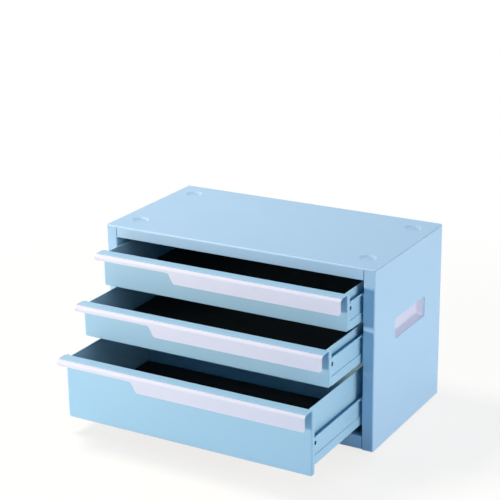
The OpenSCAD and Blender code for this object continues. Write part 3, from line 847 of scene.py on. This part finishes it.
def makeScrews():
    # pan-head screws with a cross recess, modelled once and copied
    s = screwShape
    y = nodeBox("back_panel")[1].y
    headTop = y + s["headHigh"]
    head = addRod("screw", (0, y, 0), (0, headTop, 0), s["head"])
    startEdit(head)
    pick(head, "EDGE", lambda c: near(c.y, headTop))
    bpy.ops.mesh.bevel(offset=s["round"], segments=4)
    stopEdit()
    long, wide = s["slot"][0] / 2, s["slot"][1] / 2
    for halfX, halfZ in ((long, wide), (wide, long)):
        cutAway(head, addBlock("cutter", (-halfX, headTop - s["slotDeep"], -halfZ),
                               (halfX, headTop + s["slotPast"], halfZ)))
    shank = addRod("shank", (0, y - s["length"], 0), (0, y, 0), s["shank"], smallRound)
    roundEdges(shank, s["tip"])
    joinPieces(head, [shank])
    copies = [copyPiece(head, "screw", x, z) for x, z in screwSpots()]
    bpy.data.objects.remove(head)
    piece = joinPieces(copies[0], copies[1:])
    piece.name = "backScrews"
    finishPiece(piece, "cabinet", ["back_screws"], zincSteel)


cupShape = {"wall": 1.5, "rim": 5, "corner": 4, "endSlope": 6.5, "lowerSlope": 4.5, "upperSlope": 0.6,
            "floorRound": 2.6, "mouthRound": 0.7, "edge": 0.3}


def makeCup(side):
    # moulded pocket behind the side panel: rim, sloping ends and lower wall, steep upper wall for the fingers
    s = cupShape
    sign = 1 if side == "right" else -1
    node = side + "_handle_cup"
    low, high = nodeBox(node)
    mouth = high.x if sign > 0 else low.x
    ground = (low.x + s["wall"]) if sign > 0 else (high.x - s["wall"])
    piece = addPlate("handleCup." + side, (mouth, low.y, low.z), (mouth, high.y, high.z), "X")
    startEdit(piece)
    pick(piece, "VERT", lambda c: True)
    bpy.ops.mesh.bevel(offset=s["rim"] + s["corner"], segments=8, affect="VERTICES")
    pick(piece, "FACE", lambda c: True)
    bpy.ops.mesh.inset(thickness=s["rim"])
    pull(x=ground - mouth)
    middle = (low + high) / 2
    reach = (high - low) / 2 - Vector((0, s["rim"], s["rim"]))
    narrowEnds = 1 - s["endSlope"] / reach.y
    narrowHigh = 1 - (s["lowerSlope"] + s["upperSlope"]) / 2 / reach.z
    bpy.ops.transform.resize(value=(1, narrowEnds, narrowHigh), center_override=(ground, middle.y, middle.z))
    bpy.ops.transform.translate(value=(0, 0, (s["lowerSlope"] - s["upperSlope"]) / 2))
    pick(piece, "EDGE", lambda c: near(c.x, ground))
    bpy.ops.mesh.bevel(offset=s["floorRound"], segments=4)
    pick(piece, "EDGE", lambda c: near(c.x, mouth)
         and within(c.y, low.y + s["rim"], high.y - s["rim"], openingSlack)
         and within(c.z, low.z + s["rim"], high.z - s["rim"], openingSlack))
    bpy.ops.mesh.bevel(offset=s["mouthRound"], segments=3)
    faceOut(piece, (ground, middle.y, middle.z), (sign, 0, 0))
    stopEdit()
    thicken(piece, s["wall"])
    roundEdges(piece, s["edge"])
    finishPiece(piece, "cabinet", [node], pocketWhite)


footShape = {"radius": 9.5, "sides": 48, "seat": 3.2, "edge": 0.6, "padIn": 3, "padDeep": 0.5, "stem": 2.8,
             "barb": 3.6, "tip": 2.2, "barbFrom": 4.25, "barbTo": 6.75, "barbEdge": 0.3, "barbDegrees": 40}


def makeFoot(node, spot):
    # rubber disc with a hollow sole, a push-in stem, and a barb that holds above the sheet
    s = footShape
    piece = addRod("foot." + node.replace("_foot", ""), (spot.x, spot.y, 0), (spot.x, spot.y, s["seat"]),
                   s["radius"], s["sides"])
    startEdit(piece)
    pick(piece, "EDGE", lambda c: near(c.z, 0))
    bpy.ops.mesh.bevel(offset=s["edge"], segments=3)
    pick(piece, "FACE", lambda c: near(c.z, 0))
    bpy.ops.mesh.inset(thickness=s["padIn"])
    bpy.ops.transform.translate(value=(0, 0, s["padDeep"]))
    stopEdit()
    stem = addRod("stem", (spot.x, spot.y, s["seat"]), (spot.x, spot.y, s["barbFrom"]), s["stem"], smallRound)
    deselect()
    bpy.ops.mesh.primitive_cone_add(
        vertices=smallRound, radius1=s["barb"], radius2=s["tip"], depth=s["barbTo"] - s["barbFrom"],
        location=(spot.x, spot.y, (s["barbFrom"] + s["barbTo"]) / 2))
    barb = settle(bpy.context.object, "barb")
    roundEdges(barb, s["barbEdge"], s["barbDegrees"])
    joinPieces(piece, [stem, barb])
    finishPiece(piece, "cabinet", [node], blackRubber)


bumperShape = {"radius": 5, "edge": 1.3}


def makeBumpers():
    # rubber buttons on the back panel that the trays close against
    s = bumperShape
    low, high = nodeBox("closing_bumpers")
    made = []
    for name in drawerNames:
        for sign in (-1, 1):
            x, z = sign * (high.x - s["radius"]), railHeights[name]
            button = addRod("button", (x, low.y, z), (x, high.y, z), s["radius"])
            startEdit(button)
            pick(button, "EDGE", lambda c: near(c.y, low.y))
            bpy.ops.mesh.bevel(offset=s["edge"], segments=4)
            stopEdit()
            made.append(button)
    piece = joinPieces(made[0], made[1:])
    piece.name = "closingBumpers"
    finishPiece(piece, "cabinet", ["closing_bumpers"], blackRubber)


railSheet = {"sheet": 1, "web": 184, "fold": 1.5, "flangeIn": 176, "keeperIn": 177, "flangeFrom": 28.4,
             "webSpot": 14, "shelfIn": 181.3, "shelfDrop": 3.8, "shelfRim": 0.25, "tab": 196, "tabHigh": 16,
             "tabBend": 1, "stud": 2.5, "studIn": 181.4, "studAt": -70.1, "studRim": 0.4, "rim": 0.22}


def makeRail(name, side):
    # web on the stile's return, shelf under the runner's bead, carrying flange and keeper,
    # and a tab for the rear screw
    s = railSheet
    sign = 1 if side == "right" else -1
    node = name + "_" + side + "_rail"
    low, high = nodeBox(node)
    sheet, fold, web, middle = s["sheet"], s["fold"], s["web"], railHeights[name]
    end = high.y - s["tabBend"] - sheet
    flangeFrom = low.y + s["flangeFrom"]
    tabHalf = s["tabHigh"] / 2
    piece = addPlate("rail." + name + "." + side, (sign * web, low.y, low.z + fold),
                     (sign * web, end, high.z - fold), "X")
    startEdit(piece)
    bpy.ops.mesh.select_all(action="SELECT")
    bpy.ops.mesh.bisect(plane_co=(0, flangeFrom, 0), plane_no=(0, 1, 0))
    for z in (middle - tabHalf, middle + tabHalf):
        bpy.ops.mesh.select_all(action="SELECT")
        bpy.ops.mesh.bisect(plane_co=(0, 0, z), plane_no=(0, 0, 1))
    # the flange under the runner, then the keeper over it
    for z, turn, inner in ((low.z + fold, 90, s["flangeIn"]), (high.z - fold, -90, s["keeperIn"])):
        pick(piece, "EDGE", lambda c: near(c.z, z) and c.y > flangeFrom - slack)
        bend((sign * (web - fold), 0, z), (0, 1, 0), turn * sign, steps=4)
        pull(x=-sign * (web - fold - inner))
    pick(piece, "EDGE", lambda c: near(c.x, sign * web) and near(c.y, end)
         and within(c.z, middle - tabHalf, middle + tabHalf))
    bend((sign * (web + s["tabBend"]), end, 0), (0, 0, 1), -90 * sign, steps=4)
    pull(x=sign * (s["tab"] - web - s["tabBend"]))
    faceOut(piece, (sign * web, 0, middle + s["webSpot"]), (sign, 0, 0))
    stopEdit()
    thicken(piece, sheet)
    roundEdges(piece, s["rim"])
    shelfTop = high.z - s["shelfDrop"]
    webMiddle = sign * (web - sheet / 2)
    shelfFrom, shelfTo = sorted((sign * s["shelfIn"], webMiddle))
    shelf = addBlock("shelf", (shelfFrom, low.y, shelfTop - sheet), (shelfTo, end, shelfTop))
    roundEdges(shelf, s["shelfRim"])
    stud = addRod("stud", (sign * s["studIn"], s["studAt"], middle), (webMiddle, s["studAt"], middle),
                  s["stud"])
    roundEdges(stud, s["studRim"])
    joinPieces(piece, [shelf, stud])
    finishPiece(piece, "cabinet", [node], cabinetBlue)


makeTop()
makeBottom()
makeBack()
for side in ("left", "right"):
    makeSide(side)
    makeCup(side)
    for drawer in drawerNames:
        makeRail(drawer, side)
makeScrews()
makeBumpers()
for node, spot in zip(feetNodes, seatSpots):
    makeFoot(node, spot)
print("cabinet made")


# floor, light and camera

# the floor bounces a slightly blue light on the object; the camera sees it lifted to the white backdrop,
# with a faint shadow
floorShape = {"size": 9, "colour": "#c0d2e0", "seenColour": "#7c7a78", "roughness": 0.9, "lift": 0.78,
              "liftColour": "#fffcf8", "fadeFrom": 0.4, "fadeTo": 0.9}


def makeFloor():
    s = floorShape
    deselect()
    bpy.ops.mesh.primitive_plane_add(size=s["size"], location=(0, 0, 0))
    floor = bpy.context.object
    floor.name = "floor"
    paint, tree, shader, place = startMaterial("studioFloor")
    shader.inputs["Roughness"].default_value = s["roughness"]
    path = addNode(tree, "ShaderNodeLightPath", {}).outputs
    tint = addNode(tree, "ShaderNodeMix",
                   {"data_type": "RGBA", 6: linearColour(s["colour"]), 7: linearColour(s["seenColour"])},
                   {"Factor": path["Is Camera Ray"]})
    tree.links.new(tint.outputs[2], shader.inputs["Base Color"])
    seen = addNode(tree, "ShaderNodeMath", {"operation": "MAXIMUM"},
                   {0: path["Is Camera Ray"], 1: path["Is Glossy Ray"]})
    level = addNode(tree, "ShaderNodeMath", {"operation": "MULTIPLY", 1: s["lift"]}, {0: seen.outputs[0]})
    glow = addNode(tree, "ShaderNodeEmission", {"Color": linearColour(s["liftColour"])},
                   {"Strength": level.outputs[0]})
    both = addNode(tree, "ShaderNodeAddShader", {}, {0: shader.outputs[0], 1: glow.outputs[0]})
    # away from the object the floor runs out into the white backdrop, for the camera and for reflections only
    distance = addNode(tree, "ShaderNodeVectorMath", {"operation": "LENGTH"}, {0: place})
    fade = addNode(tree, "ShaderNodeMapRange",
                   {"interpolation_type": "SMOOTHSTEP", "From Min": s["fadeFrom"], "From Max": s["fadeTo"]},
                   {"Value": distance.outputs["Value"]})
    share = addNode(tree, "ShaderNodeMath", {"operation": "MULTIPLY"},
                    {0: fade.outputs["Result"], 1: seen.outputs[0]})
    paper = addNode(tree, "ShaderNodeEmission", {"Color": (1, 1, 1, 1), "Strength": 1.0})
    choice = addNode(tree, "ShaderNodeMixShader", {},
                     {0: share.outputs[0], 1: both.outputs[0], 2: paper.outputs[0]})
    tree.links.new(choice.outputs[0], tree.nodes["Material Output"].inputs["Surface"])
    floor.data.materials.append(paint)


ambientLight = {"colour": "#1cb0f4", "strength": 0.5}


def makeWorld():
    # cool fill for the surfaces, plain white for the camera, reflections and transmission
    s = ambientLight
    world = bpy.data.worlds.new("studio")
    scene.world = world
    world.use_nodes = True
    tree = world.node_tree
    ambient = tree.nodes["Background"]
    ambient.inputs["Color"].default_value = linearColour(s["colour"])
    ambient.inputs["Strength"].default_value = s["strength"]
    white = addNode(tree, "ShaderNodeBackground", {"Color": (1, 1, 1, 1), "Strength": 1.0})
    path = addNode(tree, "ShaderNodeLightPath", {}).outputs
    seen = addNode(tree, "ShaderNodeMath", {"operation": "MAXIMUM"},
                   {0: path["Is Camera Ray"], 1: path["Is Transmission Ray"]})
    mirrored = addNode(tree, "ShaderNodeMath", {"operation": "MAXIMUM"},
                       {0: seen.outputs[0], 1: path["Is Glossy Ray"]})
    choice = addNode(tree, "ShaderNodeMixShader", {},
                     {0: mirrored.outputs[0], 1: ambient.outputs[0], 2: white.outputs[0]})
    tree.links.new(choice.outputs[0], tree.nodes["World Output"].inputs["Surface"])


lampColour = "#fff1dc"
# the top box stands over the left and the front one is low, so the insides of the open drawers stay dark;
# those at the right and behind are low too, and light the sides without washing out the top's dishes
lampSettings = {
    "softboxTop": {"place": (-0.8, -0.05, 1.75), "aim": (0, 0, 0.2), "size": (0.45, 0.45), "watts": 24.5},
    "softboxFrontLeft": {"place": (-1.4, -1.65, 0.4), "aim": (0, -0.1, 0.12), "size": (0.9, 0.25),
                         "watts": 37},
    "softboxRight": {"place": (1.5, -0.05, 0.38), "aim": (0.1, 0, 0.12), "size": (0.8, 0.5), "watts": 12},
    "softboxBack": {"place": (0.4, 1.9, 0.2), "aim": (0, 0, 0.12), "size": (0.9, 0.3), "watts": 10},
}


def addLamp(name, place, aim, size, watts):
    lamp = bpy.data.lights.new(name, "AREA")
    lamp.color = linearColour(lampColour)[:3]
    lamp.shape = "RECTANGLE"
    lamp.size, lamp.size_y = size
    lamp.energy = watts
    holder = bpy.data.objects.new(name, lamp)
    scene.collection.objects.link(holder)
    holder.location = place
    holder.rotation_euler = (Vector(aim) - Vector(place)).to_track_quat("-Z", "Y").to_euler()


# fitted to the photograph's straight edges; the turn is in degrees, lens and sensor in millimetres
cameraView = {"place": (0.9172, -1.6476, 0.8545), "turn": (71.174, 0.749, 29.836), "lens": 106.03,
              "sensor": 36}


def makeCamera():
    lens = bpy.data.cameras.new("camera")
    lens.sensor_width = cameraView["sensor"]
    lens.lens = cameraView["lens"]
    camera = bpy.data.objects.new("camera", lens)
    scene.collection.objects.link(camera)
    camera.location = cameraView["place"]
    camera.rotation_euler = [math.radians(a) for a in cameraView["turn"]]
    scene.camera = camera


makeFloor()
makeWorld()
for lampName, lampFacts in lampSettings.items():
    addLamp(lampName, **lampFacts)
makeCamera()
print("floor, light and camera set")
